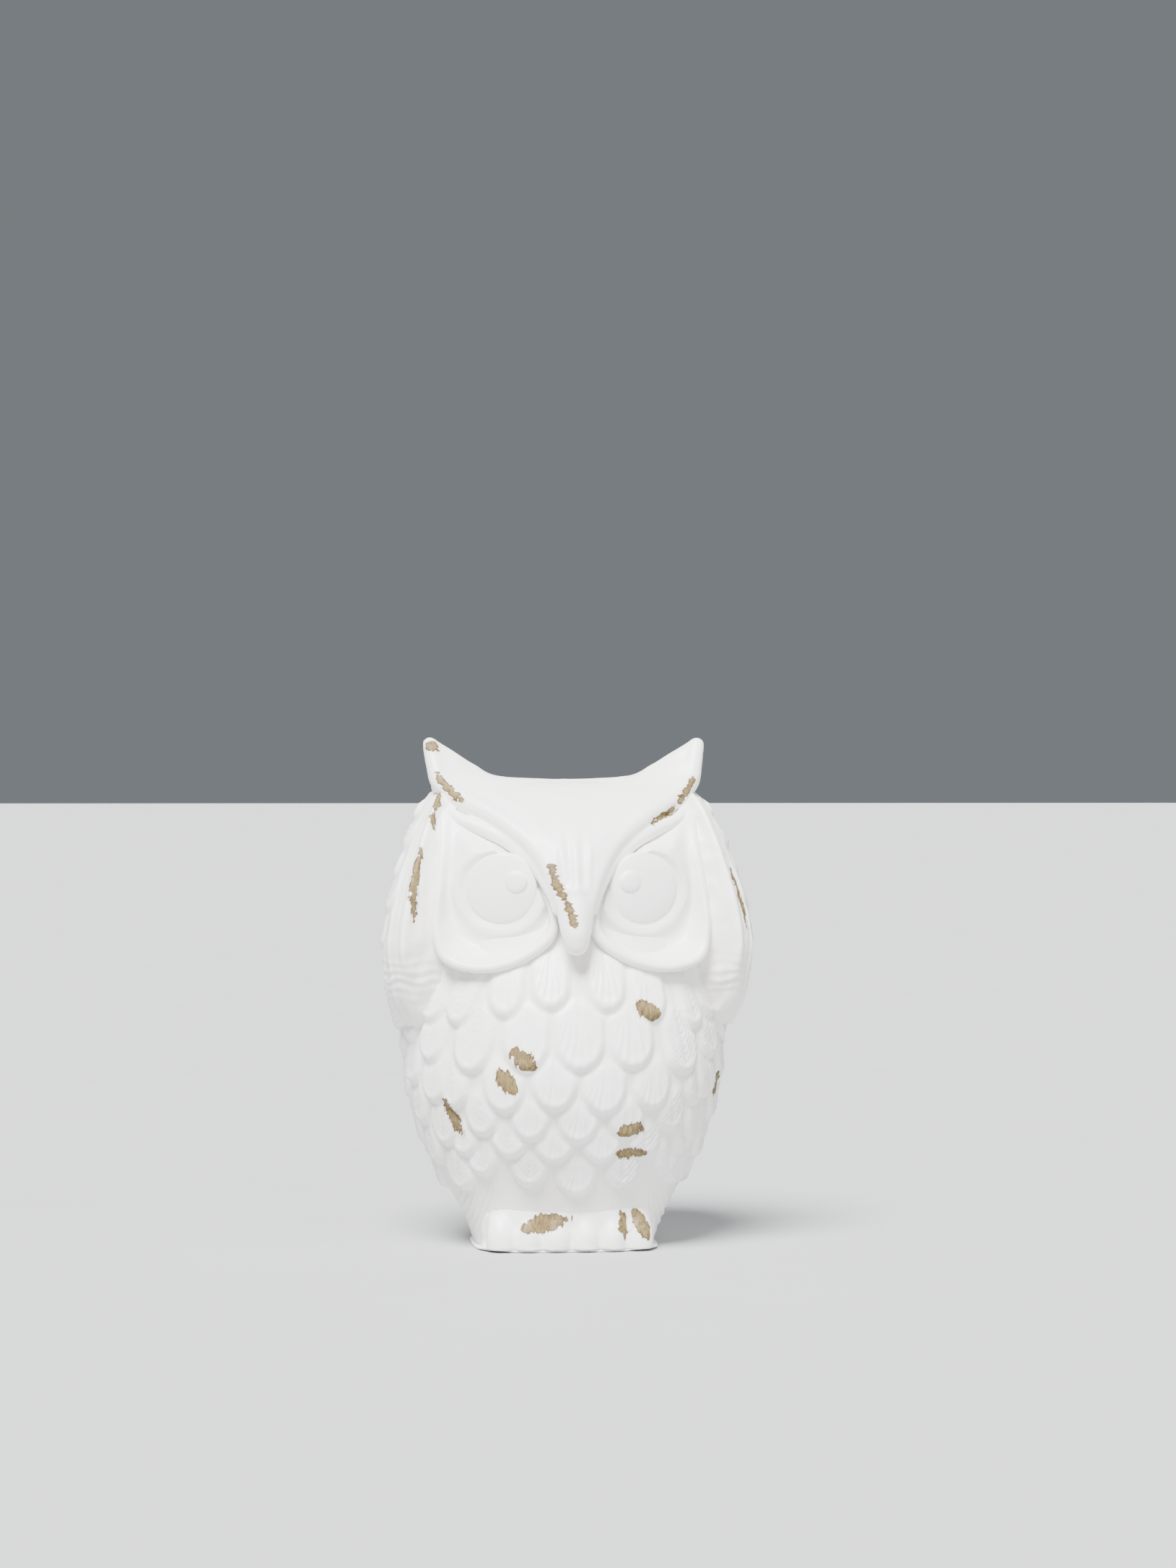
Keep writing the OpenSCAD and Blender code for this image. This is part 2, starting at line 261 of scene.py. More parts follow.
def shell_at(turn, z, out=0.0):
    """The shell's surface at a turn from straight ahead (radians) and a height."""
    wide, ahead, behind, square = section(z)
    s, c = np.sin(turn), np.cos(turn)
    deep = np.where(c > 0, ahead, behind)
    r = (np.abs(s / wide) ** square + np.abs(c / deep) ** square) ** (-1 / square) + out
    return np.stack([r * s, -r * c, z + 0 * r], -1)


def front_at(x, z):
    """The place on the front of the shell at this x and z."""
    wide, ahead, _, square = section(z)
    y = -ahead * max(1 - abs(x / wide) ** square, 0) ** (1 / square)
    return np.array([x, y, z])


def shell_normal(p):
    turn = math.atan2(p[0], -p[1])
    e = 0.01
    along = shell_at(turn + e, p[2]) - shell_at(turn - e, p[2])
    up = shell_at(turn, p[2] + 0.5) - shell_at(turn, p[2] - 0.5)
    n = np.cross(up, along)
    n = n / np.linalg.norm(n)
    return n if n[0] * p[0] + n[1] * p[1] > 0 else -n


# ---------------------------------------------------------------- feathers


class Relief:
    """A height over a surface's points, to which feathers are added from the lowest up."""

    def __init__(self, points, normal):
        self.points, self.normal = points, normal
        self.height = np.zeros(len(points))

    def feather(self, tip, normal, up, half, length, lift=1.9, barbs="fan", rim=0.4, cut=0.3):
        """One rounded feather, from its tip up; up is its own upward direction."""
        up = up - normal * (up @ normal)
        up = up / np.linalg.norm(up)
        side = np.cross(up, normal)
        away = self.points - tip
        near = np.nonzero(
            (np.einsum("ij,ij->i", away, away) < (length + half) ** 2)
            & (self.normal @ normal > 0.2)
            & (np.abs(away @ side) < half + 3)
        )[0]
        if not len(near):
            return
        a, b = away[near] @ side, away[near] @ up
        round_end = half * 1.25
        q = np.hypot(a / half, np.clip(round_end - b, 0, None) / round_end)
        inside = (1 - q) * half
        fade = ease(length + 1, length * 0.55, b)
        # what lies beside it sinks a little, as if pressed in under its edge
        groove = 0.55 * hump(np.minimum(inside, 0), -0.5, 1.0) * (inside < 0.4) * fade
        self.height[near] -= groove * ease(0.0, 0.7, self.height[near])
        weight = ease(-0.5, 0.45, inside) * ease(length + 1, length - 4, b)
        body = lift * (0.2 + 0.8 * np.clip(1 - b / length, 0, 1) ** 1.1)
        body *= 0.45 + 0.55 * ease(-0.4, 2.4, inside)
        body += 0.5 * (1 - np.clip(np.abs(a) / half, 0, 1) ** 2)
        body += rim * hump(inside, 1.9, 0.9) * ease(length * 0.8, length * 0.3, b)
        if barbs == "fan":
            spread = np.arctan2(a, length * 0.95 - b + 2)
            line = np.cos(spread * 44 + 0.6 * np.sin(b * 0.45))
            body += cut * 0.75 * line * ease(0.8, 2.8, inside) * ease(length, length * 0.75, b)
            body -= 0.25 * np.exp(-((a / 0.8) ** 2)) * ease(3, 6, b)
        else:
            line = np.cos((b - 1.25 * np.abs(a)) * 2 * math.pi / 2.5)
            body += cut * line * ease(0.3, 1.6, inside)
            body -= 0.4 * np.exp(-((a / 0.75) ** 2)) * ease(1.5, 4, b)
        self.height[near] += (body - self.height[near]) * weight


# Staggered rows of chest feathers: [height of the tips, place of the first one aside from the
# middle, step to the next, half width, length, climb at each step outwards, how many each side]
CHEST = [
    [21, 0, 16, 7.5, 17, 3, 3], [33, 8, 15, 7.5, 16, 0.5, 3], [40, 0, 16.5, 7.5, 18, 1, 3],
    [50, 8.5, 17, 8, 20, 0.5, 3], [65, 0, 19, 9, 26, -1, 3], [85, 10, 16, 7, 23, -3, 3],
]  # fmt: skip
CHEST_ASIDE = 1  # the rows' middle lies this far to the owl's own left
FLANK_FROM = 29  # feathers further out than this have slanting barbs
FLANK_LEAN = 11  # and lean outwards by so many degrees


def chest_row(row):
    """One row's feathers: the place across, the height, half width, length, lean and barbs."""
    tips, first, step, half, length, climb, count = row
    for k in range(count):
        for side in (LEFT, RIGHT) if first + k else (LEFT,):
            x = side * (first + step * k) + CHEST_ASIDE
            z = tips + climb * k + 0.8 * math.sin(3.1 * x + tips)
            flank = abs(x) > FLANK_FROM
            lean = -side * FLANK_LEAN if flank else -side * 3 * k
            barbs = "chevron" if flank or (tips < 40 and k) else "fan"
            yield x, z, half * (1 - 0.08 * k), length, lean, barbs


def chest(relief):
    """The feathers of the shell, from the feet up to the face."""
    scales = []
    for row in CHEST:
        for x, z, half, length, lean, barbs in chest_row(row):
            scales.append((z, front_at(x, z), half, length, lean, barbs))
    # Round the sides and the back they run in staggered columns
    for column in range(14):
        turn = 62 + 14.6 * column
        for row in range(9):
            z = 22 + 15 * row + (7.5 if column % 2 else 0) + 1.2 * math.sin(column * 2.3 + row)
            if z > (150 if turn > 118 else 112):
                continue
            lean = -16 if column < 5 else 0
            for side in (LEFT, RIGHT):
                p = shell_at(side * math.radians(turn), z + 0.6 * side)
                scales.append((z + 0.6 * side, p, 7.0, 21, lean * side, "chevron"))
    for z, tip, half, length, lean, barbs in sorted(scales, key=lambda scale: scale[0]):
        n = shell_normal(tip)
        tilt = math.radians(lean)
        side = np.cross(np.array([0, 0, 1.0]), n)
        up = np.array([0, 0, 1.0]) * math.cos(tilt) + side * math.sin(tilt)
        relief.feather(tip, n, up, half, length, 1.9, barbs, 0.4, 0.27 if barbs == "fan" else 0.58)


# ---------------------------------------------------------------- wear

# Brush strokes where the glaze is rubbed through: the element, the two ends [x, z], how far the
# middle bows aside, and half the width there. The last groups are on the unseen back.
STROKES = [
    ("brow_crest", (-49, 177.5), (-46, 177), 0, 2), ("brow_crest", (-46, 167.5), (-36.5, 157), 1, 1.5),
    ("brow_crest", (45.5, 166), (29, 150), -2.5, 1.7), ("brow_crest", (-8.5, 135.5), (-4, 123.5), 0.5, 1.8),
    ("beak", (-3.5, 123), (-1, 114.5), 0, 1.5),
    ("wing", (-45.5, 162), (-47.5, 154.5), 0, 1.5), ("wing", (-48, 153), (-48, 148), 0, 1.2),
    ("wing", (-52.5, 140.5), (-55.5, 116), 1.2, 1.6), ("wing", (57, 134), (62.5, 112.5), -0.5, 1.5),
    ("body", (22.5, 87), (28.5, 83), 0, 3), ("body", (-21.5, 71), (-15.5, 66), 0, 2.7),
    ("body", (-26.5, 64), (-22, 58.5), 0, 3), ("body", (-45, 53.5), (-38.5, 42.5), 0, 2),
    ("body", (16.5, 42.5), (23.5, 44.5), 0, 2.6), ("body", (15.5, 35.5), (24.5, 34.5), 0, 2.3),
    ("body", (53.5, 60.5), (52.5, 54.5), 0, 2.2),
    ("foot", (-16.5, 8.5), (-3.5, 11.5), 0, 3.4), ("foot", (18, 13.5), (18.5, 5.5), 0, 1.9),
    ("foot", (23, 13), (27, 5.5), 0, 2.8),
    ("back", (18, 96), (21, 92), 0, 2.4), ("back", (-8, 74), (-5, 71), 0, 2.2),
    ("wing_back", (-40, 118), (-35.5, 108), 0, 2), ("wing_back", (38, 96), (34, 90), 0, 2.2),
    ("wing_back", (-26, 66), (-24.5, 60), 0, 1.8), ("tail", (1.5, 30), (1, 24), 0, 2.2),
]  # fmt: skip
STROKE_STEPS = 24
OUTSIDE = -6.0  # the wear of a point that is far from any stroke


def stroke_spots(start, end, bow, half):
    """Places along a stroke, [x, z, half width], narrowing to both of its ends."""
    a, b = np.array(start, float), np.array(end, float)
    aside = np.array([b[1] - a[1], a[0] - b[0]]) / np.linalg.norm(b - a)
    for t in np.linspace(0, 1, STROKE_STEPS):
        x, z = a + (b - a) * t + aside * bow * 4 * t * (1 - t)
        yield x, z, half * (0.55 + 0.45 * math.sin(math.pi * t))


def wear_at(points, normal, *groups, back=False):
    """How far inside a worn stroke each point is, in mm; below 0 is outside."""
    best = np.full(len(points), OUTSIDE)
    seen = np.nonzero(normal[:, 1] > 0.12 if back else normal[:, 1] < -0.12)[0]
    for group, start, end, bow, half in STROKES:
        if group not in groups or not len(seen):
            continue
        for x, z, r in stroke_spots(start, end, bow, half):
            aside = np.hypot(points[seen, 0] - x, points[seen, 2] - z)
            if aside.min() > 3:
                continue
            near = seen[np.argmin(aside)]
            best = np.maximum(best, r - np.linalg.norm(points - points[near], axis=1))
    return best


# ---------------------------------------------------------------- materials


def nodes_of(name):
    material = bpy.data.materials.new(name)
    material.use_nodes = True
    tree = material.node_tree
    tree.nodes.clear()
    out = tree.nodes.new("ShaderNodeOutputMaterial")
    shader = tree.nodes.new("ShaderNodeBsdfPrincipled")
    tree.links.new(shader.outputs[0], out.inputs[0])
    return material, tree, shader


class Tree:
    """Short calls for the nodes that the materials are made of."""

    def __init__(self, tree):
        self.tree = tree

    def put(self, socket, value):
        if isinstance(value, bpy.types.NodeSocket):
            self.tree.links.new(value, socket)
        else:
            socket.default_value = value

    def math(self, kind, a, b=0.0, clamp=False):
        n = self.tree.nodes.new("ShaderNodeMath")
        n.operation, n.use_clamp = kind, clamp
        self.put(n.inputs[0], a)
        self.put(n.inputs[1], b)
        return n.outputs[0]

    def span(self, value, a, b, c=0.0, d=1.0):
        n = self.tree.nodes.new("ShaderNodeMapRange")
        n.interpolation_type = "SMOOTHSTEP"
        for k, v in enumerate((value, a, b, c, d)):
            self.put(n.inputs[k], v)
        return n.outputs[0]

    def mix(self, share, a, b):
        n = self.tree.nodes.new("ShaderNodeMix")
        n.data_type = "RGBA"
        self.put(n.inputs[0], share)
        self.put(n.inputs[6], a)
        self.put(n.inputs[7], b)
        return n.outputs[2]

    def where(self, stretch=(1, 1, 1), turn=(0, 0, 0)):
        coord = self.tree.nodes.new("ShaderNodeTexCoord")
        n = self.tree.nodes.new("ShaderNodeMapping")
        n.inputs["Scale"].default_value = stretch
        n.inputs["Rotation"].default_value = turn
        self.tree.links.new(coord.outputs["Object"], n.inputs[0])
        return n.outputs[0]

    def noise(self, vector, scale, detail=3.0, rough=0.55):
        n = self.tree.nodes.new("ShaderNodeTexNoise")
        self.put(n.inputs["Vector"], vector)
        n.inputs["Scale"].default_value = scale
        n.inputs["Detail"].default_value = detail
        n.inputs["Roughness"].default_value = rough
        return n.outputs[0]

    def attribute(self, name):
        n = self.tree.nodes.new("ShaderNodeAttribute")
        n.attribute_name = name
        return n.outputs["Fac"]

    def bump(self, height, distance, strength=1.0, normal=None):
        n = self.tree.nodes.new("ShaderNodeBump")
        n.inputs["Strength"].default_value = strength
        n.inputs["Distance"].default_value = distance
        self.put(n.inputs["Height"], height)
        if normal:
            self.put(n.inputs["Normal"], normal)
        return n.outputs[0]


def linear(r, g, b):
    """An sRGB colour from 0 to 255 as the linear colour that shaders take."""
    return (*((c / 255) ** 2.2 for c in (r, g, b)), 1.0)


def glaze(name, brush=(1, 1, 0.3), turn=(0.0, 0.5, 0.0)):
    """White satin glaze, rubbed through to tan clay where the points' wear says so, with painted shade
    greying the white where the relief lies low.
    """
    material, tree, shader = nodes_of(name)
    t = Tree(tree)
    wide = t.noise(t.where(), 28, 3, 0.5)
    mottle = t.noise(t.where(), 160, 4, 0.6)
    fine = t.noise(t.where(), 900, 3, 0.6)
    streak = t.noise(t.where(brush, turn), 620, 4, 0.65)
    long_streak = t.noise(t.where((brush[0], brush[1], brush[2] * 0.5), turn), 1500, 2, 0.6)

    edge = t.math("ADD", t.attribute("wear"), t.math("MULTIPLY", t.math("SUBTRACT", streak, 0.5), 4.8))
    edge = t.math("ADD", edge, t.math("MULTIPLY", t.math("SUBTRACT", long_streak, 0.5), 1.7))
    edge = t.math("ADD", edge, t.math("MULTIPLY", t.math("SUBTRACT", fine, 0.5), 0.8))
    bare = t.span(edge, -0.05, 0.22)
    core = t.span(edge, 0.15, 1.0)
    smear = t.span(edge, -1.1, 0.1, 0.0, 0.35)

    white = t.mix(t.span(wide, 0.3, 0.7), linear(243, 241, 237), linear(247, 246, 244))
    white = t.mix(t.span(mottle, 0.52, 0.8, 0, 0.35), white, linear(238, 234, 227))
    # painted shade: the white greys where the relief lies low, in creases, grooves and under feather edges
    painted_recess_shade = t.span(t.attribute("depth"), -1.0, 0.4, 0.32, 0.0)
    white = t.mix(painted_recess_shade, white, linear(226, 221, 213))
    white = t.mix(smear, white, linear(214, 200, 172))
    clay = t.mix(t.span(long_streak, 0.35, 0.68), linear(98, 81, 49), linear(128, 111, 75))
    clay = t.mix(t.span(fine, 0.55, 0.8, 0, 0.6), clay, linear(160, 142, 106))
    clay = t.mix(core, linear(74, 55, 31), clay)
    colour = t.mix(bare, white, clay)
    tree.links.new(colour, shader.inputs["Base Color"])

    rough = t.span(mottle, 0.3, 0.75, 0.34, 0.46)
    rough = t.math("ADD", rough, t.math("MULTIPLY", bare, 0.34), True)
    tree.links.new(rough, shader.inputs["Roughness"])
    shader.inputs["Specular IOR Level"].default_value = 0.42
    shader.inputs["Subsurface Weight"].default_value = 0.0
    shader.inputs["Coat Weight"].default_value = 0.12
    shader.inputs["Coat Roughness"].default_value = 0.3

    pits = t.math("ADD", t.math("MULTIPLY", mottle, 0.55), t.math("MULTIPLY", fine, 0.25))
    scrape = t.math("MULTIPLY", t.math("ADD", long_streak, streak), bare)
    height = t.math("ADD", pits, t.math("MULTIPLY", scrape, 0.55))
    height = t.math("SUBTRACT", height, t.math("MULTIPLY", bare, 0.8))
    tree.links.new(t.bump(height, 0.00022, 0.7), shader.inputs["Normal"])
    return material


def paper(name):
    """The thin backing pad: white, a little yellowed, with fibres."""
    material, tree, shader = nodes_of(name)
    t = Tree(tree)
    fibre = t.noise(t.where((1, 1, 6)), 700, 4, 0.7)
    stain = t.noise(t.where(), 60, 3)
    colour = t.mix(t.span(stain, 0.4, 0.75), linear(242, 242, 243), linear(231, 229, 225))
    colour = t.mix(t.span(fibre, 0.5, 0.8, 0, 0.5), colour, linear(219, 217, 214))
    tree.links.new(colour, shader.inputs["Base Color"])
    tree.links.new(t.span(fibre, 0.3, 0.7, 0.55, 0.8), shader.inputs["Roughness"])
    tree.links.new(t.bump(fibre, 0.00015, 0.6), shader.inputs["Normal"])
    return material


GLAZE = glaze("glaze")
GLAZE_SIDE = glaze("glaze_brushed_across", (0.3, 0.3, 1), (0, 0.3, 0))
PAPER = paper("pad_paper")

# ---------------------------------------------------------------- the pieces


def make_body():
    rows = int(250 / FINE)
    half_columns = int(200 / FINE)
    share = np.linspace(0, 1, half_columns, endpoint=False)
    # columns lie closer together across the front
    turn = math.pi * (0.62 * share + 0.38 * share**2.4)
    turns = np.concatenate([turn, -(math.pi * (0.62 * (1 - share) + 0.38 * (1 - share) ** 2.4))])
    heights = curve(SHELL, rows)[:, 0]
    grid = shell_at(turns[None, :], heights[:, None] + 0 * turns[None, :])
    points, quads = closed_grid(grid)
    quads = outwards(points, quads)
    normal = normals(points, quads)
    relief = Relief(points, normal)
    chest(relief)
    x, y, z = points.T
    height = relief.height
    # the foot of the shell is smooth, and the crown is bare
    height *= ease(14, 21, z) * ease(163, 150, z)
    # rough strokes in the band between the mask and the wing
    side_band = ease(38, 44, np.abs(x)) * ease(92, 100, z) * ease(158, 150, z) * (y < 10)
    stroke = noise(points * np.array([1, 1, 0.35]), 2.2, 3)
    height = height * (1 - side_band) + side_band * (0.7 + 0.9 * stroke)
    # hair strokes low on the corners
    corner = ease(22, 29, np.abs(x)) * ease(26, 17, z) * ease(2, 8, z) * ease(2, -10, y)
    lean = np.abs(x) + 0.25 * z
    height += corner * 0.35 * np.cos(lean * 2 * math.pi / 2.1 + 0.8 * noise(points, 5, 5))
    height += 0.14 * noise(points, 7, 1) + 0.07 * noise(points, 2.6, 2)
    height *= ease(0.8, 5, z)
    points = points + normal * height[:, None]
    points = soften(points, quads, 1, 0.35)
    # the relief's height is kept for the glaze, which paints shade into its low places
    depth = height - 0.9
    wear = np.maximum(wear_at(points, normal, "body"), wear_at(points, normal, "back", back=True))
    wear += 0.5 * np.clip(height - 1.2, -1, 0.6)
    return piece("body_shell_sculpt", points, quads, ["body_shell"], GLAZE, wear, depth)


def mirrored(stations):
    return np.asarray(stations, float) * np.array([-1, 1, 1, 1])


BROW = [
    [48.2, 4.5, 177.8, 1.8], [46.8, 7.5, 171.2, 2.4], [44.8, 11, 164.4, 3],
    [37.4, 17.4, 158, 3.2], [29.4, 23.8, 153.8, 3.2], [21.2, 30.2, 148.6, 3.1],
    [13.8, 36.4, 142, 3], [8.2, 41.8, 133.2, 3], [4.6, 45.4, 123.5, 3], [2.4, 48, 114, 2.6],
]  # fmt: skip
# From the top of the ear across to the middle of the forehead
FOREHEAD = [
    [
        [48.2, 4.5, 177.8, 1.8], [41, 4, 173.2, 2.5], [33.5, 3, 168.4, 2.8],
        [24, 1.5, 163.4, 3.3], [0, 0, 161.6, 4],
    ],
    [
        [46.4, 7.2, 170.8, 2.4], [40.5, 6.8, 169, 2.8], [32.5, 6.4, 165.2, 3.2],
        [21, 6, 161.4, 3.8], [0, 6, 160, 4.3],
    ],
    [
        [43.8, 10.6, 164, 3.1], [38, 11, 162.6, 3.4], [30, 11.6, 160.4, 3.8],
        [18.5, 12.4, 158.6, 4.2], [0, 13, 157.8, 4.6],
    ],
    [
        [36.4, 17, 157.4, 3.5], [31, 17.4, 157, 3.8], [24.5, 18.6, 156, 4.1],
        [14, 20.4, 154.4, 4.4], [0, 21.5, 153.4, 4.8],
    ],
    [
        [28.6, 23.2, 153, 3.6], [24, 24, 152.6, 3.8], [18.6, 25.4, 151.6, 4.2],
        [10.5, 27.6, 149.8, 4.4], [0, 28.5, 148.6, 4.8],
    ],
    [
        [20.6, 29.6, 147.8, 3.6], [17.2, 30.4, 147.3, 3.8], [13.2, 31.8, 146.4, 4.2],
        [7.4, 33.8, 144.4, 4.4], [0, 34.8, 143.2, 4.8],
    ],
    [
        [13.4, 35.8, 141.2, 3.4], [11.2, 36.6, 140.8, 3.6], [8.6, 37.8, 140, 4],
        [5, 39.4, 138.4, 4.2], [0, 40.2, 137.2, 4.4],
    ],
    [
        [8, 41.2, 132.6, 3.2], [6.6, 41.8, 132.2, 3.3], [5, 42.6, 131.8, 3.5],
        [3, 43.4, 131.2, 3.6], [0, 44, 130.4, 3.8],
    ],
    [
        [4.4, 45, 123.5, 2.8], [3.7, 45.4, 123.5, 2.9], [2.8, 45.8, 123.5, 3.1],
        [1.6, 46, 123.5, 3.2], [0, 46.2, 123.5, 3.3],
    ],
]  # fmt: skip
# The back of an ear, across from its outer edge to its inner edge
EAR = [
    [[48.2, 4.5, 177.8, 1.8], [48, 4, 177.8, 1.8], [47.6, 4.2, 177.8, 1.8]],
    [[46.6, 6, 171.4, 2.5], [44.6, 0.6, 170.8, 3], [40.4, 2.6, 171.2, 2.6]],
    [[44.4, 7.5, 164.6, 3.3], [42.3, -3.5, 164, 4.2], [34, 0, 165.4, 3.4]],
    [[42.4, 6, 158, 3.8], [40, -7, 158, 5], [30, -3, 160.2, 4.2]],
]  # fmt: skip
# The second roll, under the brow
FOLD = [
    [43.6, 14.6, 156.6, 1.6], [39.6, 20.6, 151.8, 2.3], [30.4, 26, 147.8, 2.6], [20.8, 31.8, 142.4, 2.6],
    [13, 38.4, 134.4, 2.3], [8.6, 43, 126, 1.8], [6.8, 44.8, 119.5, 1.2],
]  # fmt: skip
BEAK = [
    [0, 43, 127, 5.6], [0, 45.4, 121.6, 5.8], [0, 47.2, 117, 5.7], [0, 48.6, 113, 5.3],
    [0, 49.4, 110.2, 4.7], [0, 49.6, 108.6, 4.2],
]  # fmt: skip
CERE_Z = 123.4


def face_clay():
    """The forehead, its brows, the ears and the beak, in one block of clay."""
    clay = Clay((-54, -58, 98), (54, 18, 184), 0.6)
    rows = np.array([[*row, *mirrored(row[-2::-1])] for row in FOREHEAD], float)
    rows[..., 1] *= -1
    clay.add(net(rows, 110, 120), reach=4)
    for side in (LEFT, RIGHT):
        turned = np.array([side, -1, 1, 1])
        clay.add(net(np.array(EAR) * turned, 60, 50), 2.5, 4)
        brow = curve(BROW, 260)
        clay.add(brow * turned, 1.6, 4)
        fold = curve(FOLD, 260)
        # the ground that both rolls lie on
        sink = np.array([0, -4.2, 0, -0.6])
        ground = [brow[:240] + (fold[:240] - brow[:240]) * t + sink for t in np.linspace(0.15, 1.25, 14)]
        clay.add(np.concatenate(ground)[::2] * turned, 0.5, 3)
        clay.add(fold * turned, 0.8, 3)
    flip = np.array([1, -1, 1, 1])
    clay.add(curve(BEAK, 120) * flip, 1.5)
    clay.add(curve([[0, 47.4, 124, 2.4], [0, 50, 118, 2.6], [0, 51.2, 112.4, 2.6]], 60) * flip, 2.5)
    clay.add(curve([[-4, 45.4, 125.4, 1.6], [0, 48.2, 126.6, 2.2], [4, 45.4, 125.4, 1.6]], 40) * flip, 1.4)
    return clay


def shape_face(clay, name, node, groups):
    points, quads = clay.mesh()
    points = soften(points, quads, 3)
    normal = normals(points, quads)
    x, _, z = points.T
    facing = np.clip(-normal[:, 1] * 0.8 + normal[:, 2] * 0.6, 0, 1)
    # upright creases between the brows, and the softest hammered unevenness
    fan = np.cos((x - 0.4) * (1 - 0.012 * (z - 128)) * 2 * math.pi / 4.4)
    crease = 0.5 * fan * ease(126, 131, z) * ease(150, 139, z) * ease(8, 4.5, np.abs(x)) * facing
    height = crease + 0.16 * noise(points, 9, 4) + 0.05 * noise(points, 3, 6)
    points = points + normal * height[:, None]
    # the last value is the relief's height, from which the glaze paints shade into the low places
    return piece(name, points, quads, [node], GLAZE_SIDE,
                 wear_at(points, normal, *groups), np.clip(height * 2, -1, 1))


def make_face():
    whole = face_clay()
    z = whole.low[2] + whole.step * np.arange(whole.field.shape[2])
    full = whole.field
    # each of the two dives under the other's surface where they meet
    whole.field = full + (9 * ease(CERE_Z + 0.5, CERE_Z - 6, z) ** 2)[None, None, :].astype(np.float32)
    shape_face(whole, "brow_crest_sculpt", "brow_crest", ("brow_crest",))
    whole.field = full + (9 * ease(CERE_Z - 0.5, CERE_Z + 6, z) ** 2)[None, None, :].astype(np.float32)
    aside = np.abs(whole.low[0] + whole.step * np.arange(full.shape[0]))
    whole.field = np.maximum(whole.field, (aside - 9)[:, None, None].astype(np.float32))
    shape_face(whole, "beak_sculpt", "beak", ("beak",))


EYE = np.array([25.2, -36.6, 127.4])
EYE_TURN = math.radians(15)
RIM = [
    [43.4, -20, 153.6], [33, -24, 147.4], [22.6, -30, 141.2], [14.6, -35.6, 133.2], [9.8, -40.4, 123.5],
    [8.6, -43, 112.5], [18.6, -44, 104], [32.6, -42.6, 100.6], [44, -38.6, 103.6],
    [47.2, -35.6, 112.6], [46.4, -32.4, 125.5], [45, -27.6, 140],
]  # fmt: skip


def turned_frame(side):
    """An eye's outward, aside and upward directions."""
    out = np.array([side * math.sin(EYE_TURN), -math.cos(EYE_TURN), 0])
    aside = np.array([side * math.cos(EYE_TURN), math.sin(EYE_TURN), 0])
    return out, aside, np.array([0, 0, 1.0])


def make_mask(side):
    around, inward = int(300 / FINE), int(64 / FINE)
    flip = np.array([side, 1, 1])
    loop = np.array(RIM)
    n = len(loop)
    wrapped = np.concatenate([loop[-2:], loop, loop[:3]])
    dense = curve(wrapped, (len(wrapped) - 1) * 60 + 1)[120 : 120 + n * 60]
    closed = np.concatenate([dense, dense[:1]])
    step = np.linalg.norm(np.diff(closed, axis=0), axis=1)
    place = np.concatenate([[0], np.cumsum(step)])
    want = np.linspace(0, place[-1], around, endpoint=False)
    rim = np.stack([np.interp(want, place, closed[:, k]) for k in range(3)], 1) * flip
    centre = EYE * flip
    out, aside, _ = turned_frame(side)
    rays = rim - centre
    length = np.linalg.norm(rays, axis=1)
    away = rays / length[:, None]
    lower = ease(0.2, -0.5, away[:, 2])
    outer = ease(0.1, 0.7, (away * aside).sum(1)) * (1 - lower)
    lean = rays @ out
    t = np.linspace(0, 1, inward) ** 0.85
    levels = []
    edge = np.minimum(16.6 / length, 0.9)
    for share in t:
        r = share * length
        past = np.clip((share - edge) / (1 - edge), 0, 1)
        lip = 0.45 * hump(r, 15.2, 1.7) - 0.4 * ease(16.5, 13, r)
        bowl = -(1.6 + 1.5 * lower) * np.sin(math.pi * past**0.95) ** 1.6
        cheek = (1.2 * lower + 1.0 * outer) * ease(0.5, 0.95, past)
        flat = rays - out * lean[:, None]
        fall = lean * ease(edge * 0.9, 1.15, share) / ease(edge * 0.9, 1.15, np.ones_like(edge))
        levels.append(centre + flat * share + out * (lip + bowl + cheek + fall)[:, None])
    # over the rim, round it and back in under it
    roll = 2.2 + 0.5 * lower
    last = levels[-1]
    for angle in np.linspace(12, 205, 12):
        a = math.radians(angle)
        levels.append(
            last + away * (roll * math.sin(a))[:, None] - out * (roll * (1 - math.cos(a)))[:, None]
        )
    back = levels[-1]
    for share, sink in ((0.96, 1.5), (0.8, 5), (0.5, 8), (0.15, 9)):
        levels.append(centre + (back - centre) * share - out * sink)
    points, quads = closed_grid(np.array(levels))
    quads = outwards(points, quads)
    points = soften(points, quads, 2)
    normal = normals(points, quads)
    front = ease(0.1, 0.6, normal @ out)
    height = 0.2 * noise(points, 8, 10) * front + 0.05 * noise(points, 2.5, 11)
    points = points + normal * height[:, None]
    name = "left" if side == LEFT else "right"
    return piece(f"mask_{name}_sculpt", points, quads, [f"mask_{name}"], GLAZE,
                 np.full(len(points), OUTSIDE), np.clip(height * 2 - 0.1, -1, 1))


def button(centre, out, aside, radius, profile, name, node):
    """A round domed button; profile is [share of the radius, height] from the middle out."""
    up = np.array([0, 0, 1.0])
    around = int(120 / FINE)
    angle = np.linspace(0, 2 * math.pi, around, endpoint=False)
    ring = np.cos(angle)[:, None] * aside + np.sin(angle)[:, None] * up
    dense = curve(profile, int(56 / FINE))
    grid = np.array([centre + ring * radius * max(r, 0.002) + out * h for r, h in dense])
    points, quads = closed_grid(grid)
    quads = outwards(points, quads)
    points = soften(points, quads, 1, 0.4)
    normal = normals(points, quads)
    points = points + normal * (0.05 * noise(points, 5, 12))[:, None]
    return piece(name, points, quads, [node], GLAZE,
                 np.full(len(points), OUTSIDE), np.zeros(len(points)))


